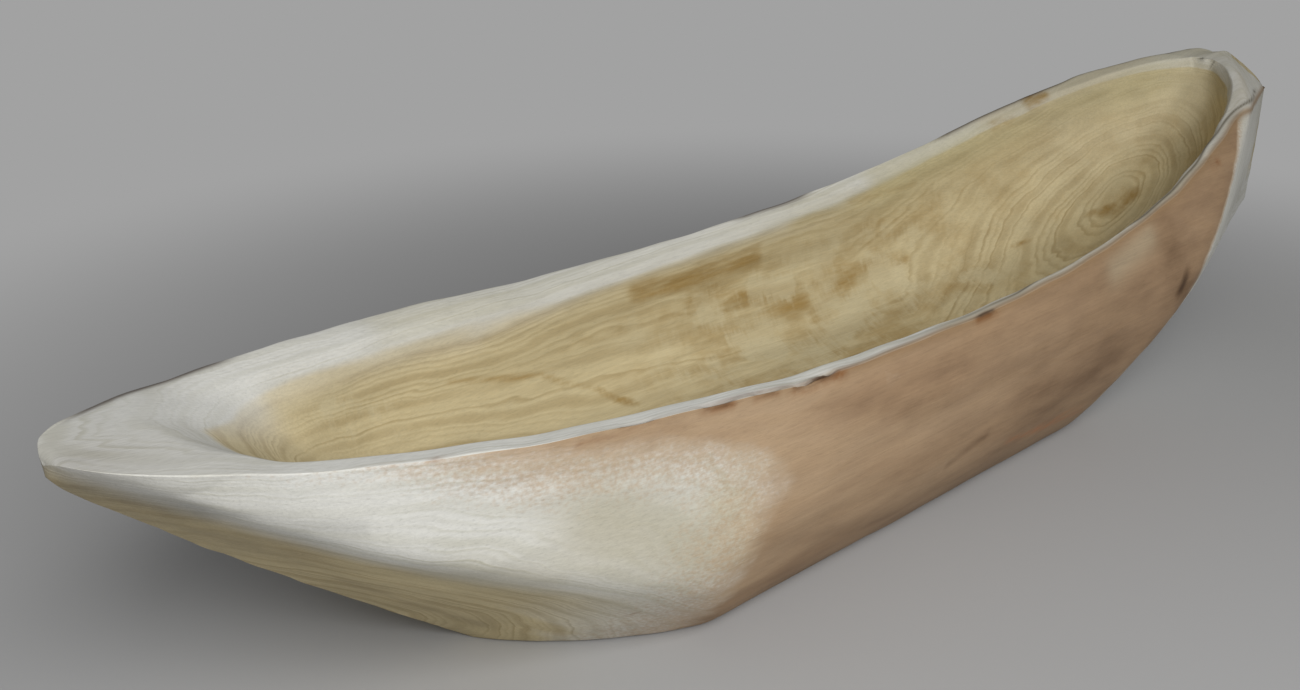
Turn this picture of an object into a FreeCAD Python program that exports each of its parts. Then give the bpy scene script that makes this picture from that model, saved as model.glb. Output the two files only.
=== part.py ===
import FreeCAD, Part
import math
import os

# A long boat-shaped snack bowl carved from one short length of a small log.
# Millimetres. +X runs to the stern, -X to the pointed prow, +Z is up.
# The origin is under the middle of the boat, on the surface it stands on.

# Overall length, and the log that the boat was carved from
boat_length = 500.0
log_radius = 57.0            # bare wood under the peeled bark, still seen on the sides
log_axis_height = 42.0       # heart of the log above the flat base

# Sheer: the height of the rim, lowest a little ahead of the middle
sheer_low_height = 61.8
sheer_low_place = 189.0      # nose to the lowest place
prow_sheer_rise = 17.5
prow_sheer_sweep = 1.48
stern_sheer_rise = 35.3
stern_sheer_sweep = 1.5
stern_crest_length = 24.0    # stern end to the highest place
stern_crest_drop = 19.0      # the worn end is this much lower than the crest

# Prow sides: facets that run from the log's surface to the nose
prow_length = 206.0
prow_width = 54.5            # half width at the rim that the facets would reach
prow_swell = 2.1             # how round they are in plan
prow_bluntness = 1.84        # how blunt they are at the nose
prow_flare = 0.38            # how much they spread downwards where they leave the log
prow_flare_sweep = 2.0
nose_wear = 1.2              # the sharp tip is worn back by this much

# Prow bevel: from a soft ridge on each side facet down to the foot
ridge_length = 148.0         # nose to the place where the ridge has faded out
ridge_nose_height = 77.0
ridge_foot_height = 16.0
ridge_sweep = 1.29
prow_foot_start = 90.0       # nose to the front of the flat base
prow_foot_length = 75.0      # from there to where the foot has its full width
prow_foot_width = 46.0
prow_foot_swell = 1.6
prow_foot_bluntness = 1.25
keel_half_width = 1.5        # flat strip under the nose

# Prow underside, which leaves the table some way behind the nose
prow_rise_length = 90.0
prow_rise_height = 74.0
prow_rise_curve = 0.12

# Stern sides: two plain facets that meet in an upright edge
stern_taper = 0.385          # half width gained for each millimetre ahead of the edge
stern_wear = 4.0             # the sharp edge is worn back by this much
stern_facets_length = 205.0

# Stern bevel, which tucks the sides in under a bilge line
bilge_height = 50.0
stern_foot_length = 190.0
stern_foot_width = 38.5
stern_foot_swell = 2.0
stern_foot_bluntness = 0.8

# Stern rim bevel: a flat on each side that takes down the outer edge of the rim
stern_bevel_length = 98.0    # stern end to where the bevel starts at the rim
stern_bevel_fall = 9.2       # its outer edge falls this much on the way to the stern
stern_bevel_slope = 1.13     # rise for each millimetre inwards

# Stern underside
stern_rise_length = 190.0
stern_rise_height = 30.5
stern_rise_curve = -0.59

# Hollow
hollow_prow_deck = 22.0      # solid wood between the nose and the hollow
hollow_stern_deck = 57.0     # solid wood between the stern and the hollow
hollow_half_width = 48.5
hollow_prow_length = 230.0
hollow_prow_bluntness = 2.5
hollow_stern_length = 180.0
hollow_stern_bluntness = 1.75
hollow_swell = 2.0
floor_thickness = 14.0
hollow_prow_slope = 150.0    # length over which the floor comes up to the deck
hollow_stern_slope = 120.0
hollow_slope_bluntness = 1.9
wall_curve = 0.22            # how low the walls stay steep, as a share of the depth
floor_spread = 0.62          # how far out the floor stays low, as a share of the half width

# Softened edges
facet_softness = 0.13        # how widely facets blend, as a share of the half width there
rim_round = 1.8              # the worn outer edge of the rim
mouth_round = 2.4            # how far the hollow's walls roll outwards at the rim

# How finely the curves are drawn
prow_ribs = 11
stern_ribs = 8
facet_points = 9
hollow_ribs = 15
hollow_end_gap = 0.6         # the ribs start this far inside the hollow's ends
sheer_points = 11
underside_points = 6

half_length = boat_length / 2
nose_x = -half_length
stern_x = half_length
reach = 2 * log_radius       # past the log on every side
over = 10.0                  # how far a cut runs on past the wood


def fullness(distance, length, swell, bluntness):
    """Rounded growth from 0 at an end to 1 at the given length from it."""
    rest = min(max(1 - distance / length, 0.0), 1.0)
    return (1 - rest ** swell) ** (1 / bluntness)


def rise(distance, length, height, curve):
    """Height of an underside that lifts towards an end and runs on below the table behind it."""
    share = distance / length
    return height * (1 - share) * (1 - curve * share)


def prow_underside(x):
    return rise(x - nose_x, prow_rise_length, prow_rise_height, prow_rise_curve)


def stern_underside(x):
    return rise(stern_x - x, stern_rise_length, stern_rise_height, stern_rise_curve)


def sheer(x):
    """Height of the rim at a place along the boat."""
    low_x = nose_x + sheer_low_place
    crest_x = stern_x - stern_crest_length
    if x < low_x:
        share = (low_x - x) / sheer_low_place
        return sheer_low_height + prow_sheer_rise * share ** prow_sheer_sweep
    share = min((x - low_x) / (crest_x - low_x), 1.0)
    height = sheer_low_height + stern_sheer_rise * (1 - math.cos(math.pi * share ** stern_sheer_sweep)) / 2
    past_crest = max(x - crest_x, 0.0) / stern_crest_length
    return height - stern_crest_drop * past_crest ** 2


def prow_rib(x):
    """Rim, ridge and foot of the prow at x, each as (half width, height)."""
    from_nose = x - nose_x + nose_wear
    top = sheer(x)
    width = prow_width * fullness(from_nose, prow_length, prow_swell, prow_bluntness)
    flare = prow_flare * (from_nose / prow_length) ** prow_flare_sweep
    ridge_rest = max(1 - from_nose / ridge_length, 0.0)
    ridge = ridge_foot_height + (ridge_nose_height - ridge_foot_height) * ridge_rest ** ridge_sweep
    foot = keel_half_width + prow_foot_width * fullness(
        max(x - nose_x - prow_foot_start, 0.0), prow_foot_length, prow_foot_swell, prow_foot_bluntness)
    return (width, top), (width + flare * (top - ridge), ridge), (foot, max(prow_underside(x), 0.0))


def stern_rib(x):
    """Rim, bilge and foot of the stern at x, each as (half width, height)."""
    from_stern = stern_x - x
    width = stern_taper * (from_stern + stern_wear)
    foot = keel_half_width + (stern_foot_width - keel_half_width) * fullness(
        from_stern, stern_foot_length, stern_foot_swell, stern_foot_bluntness)
    return (width, sheer(x)), (width, bilge_height), (foot, stern_underside(x))


def even_spline(points):
    """Smooth curve through points, with the same spacing of its parameter on every rib."""
    curve = Part.BSplineCurve()
    curve.interpolate(Points=points, Parameters=[float(i) for i in range(len(points))])
    return curve.toShape()


def line_at(low, high, z):
    """Half width at a height on the straight line through two (half width, height) points."""
    return low[0] + (high[0] - low[0]) * (z - low[1]) / (high[1] - low[1])


def facet_rib(x, rim, ridge, foot):
    """One side of a rib: a bevel and a side facet with a soft edge between them."""
    bottom = foot[1] - over
    top = rim[1] + over
    points = []
    for i in range(facet_points):
        z = bottom + (top - bottom) * i / (facet_points - 1)
        bevel = line_at(foot, ridge, z)
        side = line_at(ridge, rim, z)
        y = (bevel + side - math.hypot(bevel - side, facet_softness * ridge[0])) / 2
        points.append(FreeCAD.Vector(x, y, z))
    return Part.Wire([even_spline(points)])


def shavings(ribs):
    """What is carved off the right side, outside a row of facet ribs."""
    surface = Part.makeLoft(ribs, False, False)
    return surface.extrude(FreeCAD.Vector(0, reach, 0))


def even(start, end, count):
    """Evenly spaced places from the start to the end."""
    return [start + (end - start) * i / (count - 1) for i in range(count)]


def crowded(start, end, count):
    """Places from the start to the end, crowded towards the start."""
    return [start + (end - start) * (i / (count - 1)) ** 1.7 for i in range(count)]


def stations(start, end, count):
    """Places between two ends, closer together towards both."""
    middle = (start + end) / 2
    half = (end - start) / 2
    return [middle - half * math.cos(math.pi * i / (count - 1)) for i in range(count)]


def side_profile():
    """The boat seen from the side, from the table up to the rim, as a block across the log."""
    def edge(places, height):
        curve = Part.BSplineCurve()
        curve.interpolate([FreeCAD.Vector(x, -reach, height(x)) for x in places])
        return curve.toShape()
    base_front = nose_x + prow_rise_length
    base_back = stern_x - stern_rise_length
    rim = edge(stations(nose_x, stern_x, sheer_points), sheer)
    prow = edge(even(nose_x, base_front, underside_points), prow_underside)
    stern = edge(even(base_back, stern_x, underside_points), stern_underside)
    base = Part.LineSegment(FreeCAD.Vector(base_front, -reach, 0), FreeCAD.Vector(base_back, -reach, 0)).toShape()
    nose = Part.LineSegment(rim.Vertexes[0].Point, prow.Vertexes[0].Point).toShape()
    end = Part.LineSegment(rim.Vertexes[-1].Point, stern.Vertexes[-1].Point).toShape()
    outline = Part.Wire(Part.__sortEdges__([rim, prow, base, stern, nose, end]))
    return Part.Face(outline).extrude(FreeCAD.Vector(0, 2 * reach, 0))


def hollow_rib(x):
    """Closed rib of the hollow, from above the rim down round its floor and up again."""
    from_prow = x - (nose_x + hollow_prow_deck)
    from_stern = stern_x - hollow_stern_deck - x
    width = (hollow_half_width * fullness(from_prow, hollow_prow_length, hollow_swell, hollow_prow_bluntness)
             * fullness(from_stern, hollow_stern_length, hollow_swell, hollow_stern_bluntness))
    under = max(prow_underside(x), stern_underside(x), 0.0)
    depth = ((sheer(x) - under - floor_thickness)
             * fullness(from_prow, hollow_prow_slope, hollow_swell, hollow_slope_bluntness)
             * fullness(from_stern, hollow_stern_slope, hollow_swell, hollow_slope_bluntness))
    floor = sheer(x) - depth
    half = [(width + mouth_round, sheer(x) + over), (width + mouth_round, sheer(x) + mouth_round),
            (width, sheer(x) - mouth_round), (width, floor + wall_curve * depth), (width * floor_spread, floor)]
    right = [FreeCAD.Vector(x, y, z) for y, z in half]
    left = [FreeCAD.Vector(x, -y, z) for y, z in half]
    curve = Part.BSplineCurve()
    curve.buildFromPoles(right + left[::-1], False, 3)
    return Part.Wire([curve.toShape(), Part.LineSegment(left[0], right[0]).toShape()])


def bevel_waste():
    """What the stern's rim bevel takes off the right side: everything above one sloping plane."""
    start_x = stern_x - stern_bevel_length
    start = FreeCAD.Vector(start_x, stern_taper * (stern_bevel_length + stern_wear), sheer(start_x))
    end = FreeCAD.Vector(stern_x, stern_taper * stern_wear, start.z - stern_bevel_fall)
    along = end - start
    uphill = FreeCAD.Vector(along.y, -along.x, 0).normalize() + FreeCAD.Vector(0, 0, stern_bevel_slope)
    front = start - along * 0.3
    back = end + along * 0.2
    outer = uphill * -over
    inner = uphill * log_radius
    plane = Part.makePolygon([front + outer, back + outer, back + inner, front + inner, front + outer])
    return Part.Face(plane).extrude(FreeCAD.Vector(0, 0, reach))


def on_rim(edge):
    """Whether an edge runs along the rim, tested at four places on it."""
    first, last = edge.ParameterRange
    places = [edge.valueAt(first + (last - first) * share) for share in (0.1, 0.4, 0.6, 0.9)]
    return all(abs(place.z - sheer(place.x)) < 0.3 for place in places)


def in_hollow(edge):
    """Whether a rim edge belongs to the mouth of the hollow, and not to the outside of the boat."""
    return any(edge.distToShape(Part.Vertex(x, 0, sheer(x)))[0] < 12.0
               for x in (nose_x + hollow_prow_deck, stern_x - hollow_stern_deck))


log = Part.makeCylinder(log_radius, boat_length, FreeCAD.Vector(nose_x, 0, log_axis_height),
                        FreeCAD.Vector(1, 0, 0))
boat = log.common(side_profile())

# The four end facets, each with the bevel under it
prow_places = crowded(nose_x, nose_x + prow_length, prow_ribs)
stern_places = even(stern_x - stern_facets_length, stern_x, stern_ribs)
for places, rib in ((prow_places, prow_rib), (stern_places, stern_rib)):
    right = shavings([facet_rib(x, *rib(x)) for x in places])
    left = right.mirror(FreeCAD.Vector(0, 0, 0), FreeCAD.Vector(0, 1, 0))
    boat = boat.cut(right).cut(left)

hollow_front = nose_x + hollow_prow_deck + hollow_end_gap
hollow_back = stern_x - hollow_stern_deck - hollow_end_gap
hollow = Part.makeLoft([hollow_rib(x) for x in stations(hollow_front, hollow_back, hollow_ribs)], True, False)
boat = boat.cut(hollow)

outside = [edge for edge in boat.Edges if on_rim(edge) and not in_hollow(edge)]
boat = boat.makeFillet(rim_round, outside)

right = bevel_waste()
left = right.mirror(FreeCAD.Vector(0, 0, 0), FreeCAD.Vector(0, 1, 0))
boat = boat.cut(right).cut(left)

os.makedirs("parts", exist_ok=True)
boat.exportStep("parts/boat_body.step")
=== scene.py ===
import functools
import math
import bpy
import numpy as np
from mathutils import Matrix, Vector


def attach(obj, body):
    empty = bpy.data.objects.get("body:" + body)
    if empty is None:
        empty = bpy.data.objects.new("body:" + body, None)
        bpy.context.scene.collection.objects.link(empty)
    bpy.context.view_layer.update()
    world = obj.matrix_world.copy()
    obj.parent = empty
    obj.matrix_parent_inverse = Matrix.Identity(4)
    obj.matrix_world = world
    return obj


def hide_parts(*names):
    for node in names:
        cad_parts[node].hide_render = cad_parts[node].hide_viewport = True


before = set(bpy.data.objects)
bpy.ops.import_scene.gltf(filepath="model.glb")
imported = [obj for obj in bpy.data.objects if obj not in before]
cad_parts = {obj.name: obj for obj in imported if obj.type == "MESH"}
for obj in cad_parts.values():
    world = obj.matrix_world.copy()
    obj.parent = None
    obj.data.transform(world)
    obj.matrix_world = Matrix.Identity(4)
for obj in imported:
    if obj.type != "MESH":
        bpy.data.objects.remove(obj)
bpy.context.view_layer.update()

mm = 0.001


def linearColour(hexText):
    # sRGB hex to linear: c/12.92 up to 0.04045, else ((c+0.055)/1.055)^2.4
    parts = [int(hexText[i:i + 2], 16) / 255 for i in (1, 3, 5)]
    return [c / 12.92 if c <= 0.04045 else ((c + 0.055) / 1.055) ** 2.4 for c in parts] + [1.0]


def smoothNoise(points, wavelengths, seed, octaves=3):
    # sine waves in random directions, each octave half as long and half as strong, about -1 to 1
    rng = np.random.default_rng(seed)
    total = np.zeros(points.shape[:-1])
    scaled = points / np.array(wavelengths)
    for octave in range(octaves):
        for wave in range(6):
            direction = rng.normal(size=3)
            direction *= rng.uniform(0.7, 1.3) * 2 ** octave / np.linalg.norm(direction)
            total += 0.5 ** octave / 3 * np.sin(2 * math.pi * (scaled @ direction) + rng.uniform(0, 2 * math.pi))
    return total


def softMin(a, b, width):
    # the smaller of two sizes, with the corner between them rounded over the given width
    return (a + b - np.sqrt((a - b) ** 2 + width ** 2)) / 2


def ramp(value, low, high):
    # 0 up to low, 1 from high on, 3t^2 - 2t^3 between them
    t = np.clip((value - low) / (high - low), 0, 1)
    return t * t * (3 - 2 * t)


def stretch(value, start, end, soft):
    # 1 from start to end, with a ramp twice as long as soft at both
    return ramp(value, start - soft, start + soft) * (1 - ramp(value, end - soft, end + soft))


# the carved boat: one closed surface in millimetres, the prow towards -x and the photographed side towards -y
boat = {
    "length": 500.0, "logRadius": 57.0, "logHeight": 42.0,
    "sheerLow": 61.8, "sheerLowPlace": 189.0, "prowRise": 17.5, "prowSweep": 1.48,
    "sternRise": 35.3, "sternSweep": 1.5, "crestLength": 24.0, "crestDrop": 19.0, "crestCurve": 2.8,
    "prowLength": 206.0, "prowWidth": 54.5, "prowSwell": 2.1, "prowBluntness": 1.84,
    "prowRunOut": 0.5,         # slope at which the prow's side facet leaves the log
    "prowFlare": 0.38, "prowFlareSweep": 2.0, "noseWear": 1.2,
    "noseTuck": 0.65, "noseTuckLength": 28.0,      # the nose leans in under its rim
    "ridgeLength": 148.0, "ridgeNose": 82.0, "ridgeFoot": 16.0, "ridgeSweep": 1.36,
    "ridgeSoftPlaces": (0, 80, 150), "ridgeSoftShares": (0.04, 0.07, 0.13),
    "footStart": 90.0, "footLength": 75.0, "footWidth": 46.0, "footSwell": 1.6, "footBluntness": 1.25,
    "keelHalf": 1.5, "prowUnderLength": 90.0, "prowUnderHeight": 74.0, "prowUnderCurve": 0.07,
    "sternTaper": 0.385, "sternWear": 4.0, "bilge": 50.0, "bilgeSoftShare": 0.13,
    "sternFootLength": 190.0, "sternFootWidth": 38.5, "sternFootBluntness": 0.8,
    "sternUnderHeight": 30.5, "sternUnderCurve": -0.59,
    "bevelLength": 98.0, "bevelFall": 9.2, "bevelSlope": 1.13,
    "farBevelFall": 0.0, "farBevelSlope": 2.2,     # the far side's bevel takes less off
    "rimSlope": 0.3, "rimSlopeReach": (180, 225),  # the bevel stands this much steeper, up to the crest
    "bevelLead": 15.0,         # the bevel's plane is followed from this far ahead of it
    "creaseRound": 1.2, "edgeRound": 1.0, "rimRound": 1.5,     # how widely creases and rim edges are worn
    "sternSoftness": 6.0, "sternSoftReach": (165, 222),        # and the stern's bevels into its crest
    "sternLift": 2.2, "sternLiftReach": (150, 215),            # rounding lowers the crest, this puts it back
    "leastHalf": 0.4, "leastDepth": 0.02,
    "prowDeck": 22.0, "sternDeck": 57.0, "hollowHalf": 48.5,
    "hollowProwLength": 230.0, "hollowProwBluntness": 2.5,
    "hollowSternLength": 180.0, "hollowSternBluntness": 1.75,
    "hollowTip": 3.5, "hollowTipShare": 0.35,      # the hollow's least half width, and its share of the boat's
    "floorThickness": 14.0, "hollowProwSlope": 150.0, "hollowSternSlope": 120.0, "slopeBluntness": 1.9,
    "lipLength": 9.0,          # the deck rounds into the hollow's front over about this length
    "dishReach": (4, 34),      # behind its front the hollow changes from a dish to a wall and floor over this stretch
    "sectionPower": 3.0,       # 2 makes the hollow's section an ellipse, more makes it squarer
    "squareReach": (5, 70),
    "mouthRoll": 1.5, "mouthRollDepth": 2.5,       # the inner edge of the rim rolls outwards by this much,
    "mouthRollReach": (1, 6),  # in full where the hollow is deep enough,
    "prowRoll": 1.3, "prowRollReach": 90.0,        # and by this share more towards the prow
    "noseRound": 3.2,          # the last millimetres of the prow, worn round
    "sternRound": 7.0,
    "endLeft": 0.06,           # share of the width that the rounded ends keep
    "noseHeight": 76.0, "noseLeft": 0.4,           # the nose closes towards this height
    "sideReach": (0, 11),      # how far off the middle line the two sides begin to differ
    "nearLift": 0.022,         # the near rim is this share higher amidships
    "nearLiftStart": (-190, -120), "nearLiftEnd": (90, 150),
    "farRimDrop": 2.6, "farRimPower": 1.4,         # the far rim is worn down by this much towards the hollow
    "wearDepth": 4.0, "farRimStart": (-238, -190), "farRimEnd": (90, 170), "farRimSpared": 0.7,
    "farSlimness": 0.06, "farSlimReach": (-225, -140),         # the far side of the prow is this share slimmer
    "rimWobble": 0.35, "wobbleWaves": (95, 61, 37, 23), "wobbleReach": (4, 30),
    "wander": 0.30, "wanderSize": (130, 60, 60),   # how far the knife wandered off the drawn shape, and how slowly
    "facet": 0.16, "gouge": 0.34, "cutSize": (46, 13, 13),     # depth of the single cuts outside and in the hollow
    "carveReach": (0, 10),     # the carving dies out towards both ends
    "deckSmoothed": 0.8, "deckReach": (-210, -180),            # the prow's deck was smoothed by this share
    "splinterReach": 1.6, "splinterSize": (7, 3, 3), "splinterEnd": 1.5,
    "stations": 365, "bottomPoints": 12, "sidePoints": 52, "landPoints": 16, "hollowPoints": 54,
    "bottomCrowding": 0.5, "sideCrowding": 0.8, "landCrowding": 0.6, "endCrowding": 6.0,
}
bottom, side, land, hollow = range(4)
offBark = 60.0     # stands for nowhere near the peeled bark

# splinters along the near rim: where they start and end, and how deep they go
splinters = [(-148, -141, 0.5), (-127, -119, 0.6), (-112, -105, 0.6),
             (-99, -86, 1.5), (-29, -21, 0.6), (112, 117, 0.6)]


def fullness(distance, length, swell, bluntness):
    # rounded growth from 0 at an end to 1 at the given length: (1 - (1 - d/l)^swell)^(1/bluntness)
    rest = np.clip(1 - distance / length, 0, 1)
    return (1 - rest ** swell) ** (1 / bluntness)


def sheerAt(x, b):
    # rim height: a power curve up to the prow, a cosine rise to the stern's crest, another power curve down past it
    lowX = b["sheerLowPlace"] - b["length"] / 2
    crestX = b["length"] / 2 - b["crestLength"]
    ahead = np.clip((lowX - x) / b["sheerLowPlace"], 0, None)
    behind = np.clip((x - lowX) / (crestX - lowX), 0, 1)
    past = np.clip((x - crestX) / b["crestLength"], 0, None)
    rise = b["sternRise"] * (1 - np.cos(math.pi * behind ** b["sternSweep"])) / 2
    return b["sheerLow"] + b["prowRise"] * ahead ** b["prowSweep"] + rise - b["crestDrop"] * past ** b["crestCurve"]


def riseAt(distance, length, height, curve):
    # an underside that lifts towards an end: h (1 - d/l) (1 - c d/l), and 0 from the length on
    share = distance / length
    return np.where(share < 1, height * (1 - share) * (1 - curve * share), 0)


def ridgeAt(x, b):
    # height of the soft ridge under the prow's side facet: foot + (nose - foot) (1 - d/l)^sweep
    rest = np.clip(1 - (x + b["length"] / 2 + b["noseWear"]) / b["ridgeLength"], 0, 1)
    return b["ridgeFoot"] + (b["ridgeNose"] - b["ridgeFoot"]) * rest ** b["ridgeSweep"]


def facetWidths(x, z, b):
    # half widths that the carved facets leave: a side facet and a bevel under it, at the prow and at the stern
    half = b["length"] / 2
    fromNose = x + half + b["noseWear"]
    top = sheerAt(x, b)
    width = (b["prowWidth"] * fullness(fromNose, b["prowLength"], b["prowSwell"], b["prowBluntness"])
             + b["prowRunOut"] * np.clip(fromNose - b["prowLength"], 0, None))
    flare = b["prowFlare"] * np.clip(fromNose / b["prowLength"], 0, 1) ** b["prowFlareSweep"]
    flare = flare - b["noseTuck"] * np.exp(-(fromNose / b["noseTuckLength"]) ** 2)
    ridge = ridgeAt(x, b)
    foot = b["keelHalf"] + b["footWidth"] * fullness(
        np.clip(x + half - b["footStart"], 0, None), b["footLength"], b["footSwell"], b["footBluntness"])
    keel = riseAt(x + half, b["prowUnderLength"], b["prowUnderHeight"], b["prowUnderCurve"])
    ridgeWidth = width + flare * (top - ridge)
    bevel = foot + (ridgeWidth - foot) * (z - keel) / np.maximum(ridge - keel, 1)
    soft = np.interp(fromNose, b["ridgeSoftPlaces"], b["ridgeSoftShares"]) * ridgeWidth
    prow = softMin(width + flare * (top - z), bevel, soft)
    fromStern = half - x
    facet = b["sternTaper"] * (fromStern + b["sternWear"])
    foot = b["keelHalf"] + (b["sternFootWidth"] - b["keelHalf"]) * fullness(
        fromStern, b["sternFootLength"], 2.0, b["sternFootBluntness"])
    share = fromStern / b["sternFootLength"]
    keel = b["sternUnderHeight"] * (1 - share) * (1 - b["sternUnderCurve"] * share)
    bevel = foot + (facet - foot) * (z - keel) / (b["bilge"] - keel)
    return np.minimum(prow, softMin(facet, bevel, b["bilgeSoftShare"] * facet))


def bevelEdge(x, b):
    # the outer edge of the stern's rim bevel starts in the rim and falls evenly to the end
    bevelX = b["length"] / 2 - b["bevelLength"]
    return sheerAt(bevelX, b) - b["bevelFall"] * (x - bevelX) / b["bevelLength"]


def bevelPlane(x, y, b):
    # from that edge the bevel rises inwards: edge height + slope * distance in from the stern's side facet,
    # and ahead of it a great height stands for no bevel
    inwards = b["sternTaper"] * (b["length"] / 2 + b["sternWear"] - x) - y
    inwards = math.cos(math.atan(b["sternTaper"])) * np.clip(inwards, 0, None)
    slope = b["bevelSlope"] + b["rimSlope"] * (1 - ramp(x, *b["rimSlopeReach"]))
    startX = b["length"] / 2 - b["bevelLength"] - b["bevelLead"]
    return np.where(x > startX, bevelEdge(x, b) + slope * inwards, 1e3)


def stationPlaces(b):
    # places along the boat, closer together at its ends and at the ends of the hollow
    half = b["length"] / 2
    fine = np.linspace(-half, half, 20001)
    density = np.ones(fine.size)
    for centre, spread in ((-half, 5), (-half + b["prowDeck"], 4), (half - b["sternDeck"], 4), (half, 4)):
        density += b["endCrowding"] * np.exp(-((fine - centre) / spread) ** 2)
    total = np.concatenate([[0], np.cumsum((density[1:] + density[:-1]) / 2)])
    return np.interp(np.linspace(0, total[-1], b["stations"]), total, fine)


def crowdedShares(count, crowding):
    # shares from 0 to 1, closer together at both ends
    t = np.linspace(0, 1, count)
    return ((1 - crowding) * t + crowding * (1 - np.cos(math.pi * t)) / 2)[None, :]


def halfSections(b):
    # half a cross-section at every station: out along the bottom, up the side, in over the rim, down the hollow
    half = b["length"] / 2
    x = stationPlaces(b)[:, None]
    rng = np.random.default_rng(5)
    # the rim wavers by half the sum of four sine waves of random strength and shift
    wobble = sum(rng.uniform(0.3, 1) * np.sin(2 * math.pi * x / wave + rng.uniform(0, 6.28))
                 for wave in b["wobbleWaves"]) / 2
    top = (sheerAt(x, b) + b["rimWobble"] * wobble * ramp(half - np.abs(x), *b["wobbleReach"])
           + b["sternLift"] * ramp(x, *b["sternLiftReach"]))
    edge = softMin(top, bevelEdge(x, b), b["edgeRound"])
    under = np.maximum(riseAt(x + half, b["prowUnderLength"], b["prowUnderHeight"], b["prowUnderCurve"]),
                       riseAt(half - x, b["sternFootLength"], b["sternUnderHeight"], b["sternUnderCurve"]))
    sideZ = under + (edge - under) * crowdedShares(b["sidePoints"], b["sideCrowding"])
    log = np.sqrt(np.clip(b["logRadius"] ** 2 - (sideZ - b["logHeight"]) ** 2, 1, None))
    facets = facetWidths(x, sideZ, b)
    sideY = np.maximum(softMin(log, facets, b["creaseRound"]), b["leastHalf"])
    bottomY = sideY[:, :1] * crowdedShares(b["bottomPoints"] + 1, b["bottomCrowding"])[:, :-1]
    bottomZ = np.repeat(under, b["bottomPoints"], 1)
    # the hollow's section is a squared ellipse in polar form: 1 / ((cos a / w)^n + (sin a / d)^n)^(1/n)
    front = np.clip(x + half - b["prowDeck"], 0, None)
    back = np.clip(half - b["sternDeck"] - x, 0, None)
    wide = (b["hollowHalf"] * fullness(front, b["hollowProwLength"], 2.0, b["hollowProwBluntness"])
            * fullness(back, b["hollowSternLength"], 2.0, b["hollowSternBluntness"]))
    wide = np.maximum(wide, np.minimum(b["hollowTip"], b["hollowTipShare"] * sideY[:, -1:]))
    deep = ((top - under - b["floorThickness"]) * fullness(front, b["hollowProwSlope"], 2.0, b["slopeBluntness"])
            * fullness(back, b["hollowSternSlope"], 2.0, b["slopeBluntness"]))
    deep = np.maximum(deep * (1 - np.exp(-front / b["lipLength"])), b["leastDepth"])
    power = 2.0 + (b["sectionPower"] - 2.0) * ramp(front, *b["squareReach"])
    angle = np.linspace(0, math.pi / 2, b["hollowPoints"])[None, :]
    reach = ((np.cos(angle) / wide) ** power + (np.sin(angle) / deep) ** power) ** (-1 / power)
    hollowY = reach * np.cos(angle)
    hollowDown = reach * np.sin(angle)
    # the hollow's front is a dish with no edge, d (1 - (y / w)^2)^1.5, which gives way to the squared ellipse
    dish = deep * (1 - np.clip(hollowY / wide, 0, 1) ** 2) ** 1.5
    hollowDown = hollowDown + (dish - hollowDown) * (1 - ramp(front, *b["dishReach"]))
    nearProw = np.exp(-front / b["prowRollReach"])
    rollDepth = b["mouthRollDepth"] * (1 + nearProw)
    roll = b["mouthRoll"] * (1 + b["prowRoll"] * nearProw) * np.exp(-hollowDown / rollDepth)
    hollowY = hollowY + roll * ramp(deep, *b["mouthRollReach"]) * np.cos(angle)
    hollowY[:, -1] = 0
    landWidth = hollowY[:, :1] - sideY[:, -1:]
    landY = sideY[:, -1:] + landWidth * crowdedShares(b["landPoints"] + 2, b["landCrowding"])[:, 1:-1]
    # the land between side and hollow is level, and falls off where the stern's bevel is lower
    soft = b["rimRound"] + (b["sternSoftness"] - b["rimRound"]) * ramp(x, *b["sternSoftReach"])
    landZ = softMin(top, bevelPlane(x, landY, b), soft)
    mouth = softMin(top, bevelPlane(x, hollowY, b), soft)
    # how near to the hollow's mouth a point of the rim or of the wall is, 1 at the mouth
    mouthShare = np.concatenate([0 * bottomY, 0 * sideY, (landY - sideY[:, -1:]) / landWidth,
                                 np.exp(-hollowDown / b["wearDepth"])], 1)
    y = np.concatenate([bottomY, sideY, landY, hollowY], 1)
    z = np.concatenate([bottomZ, sideZ, landZ, mouth - hollowDown], 1)
    part = np.repeat([bottom, side, land, hollow],
                     [b["bottomPoints"], b["sidePoints"], b["landPoints"], b["hollowPoints"]])
    carved = np.full(y.shape, offBark)
    carved[:, part == side] = log - facets
    return np.repeat(x, y.shape[1], 1), y, z, part, carved, mouthShare


def wornDown(values):
    # takes the sharpness off every section by averaging neighbours three times, with both middle points kept
    for _ in range(3):
        middle = (values[:, :-2] + 2 * values[:, 1:-1] + values[:, 2:]) / 4
        values = np.concatenate([values[:, :1], middle, values[:, -1:]], 1)
    return values


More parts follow.
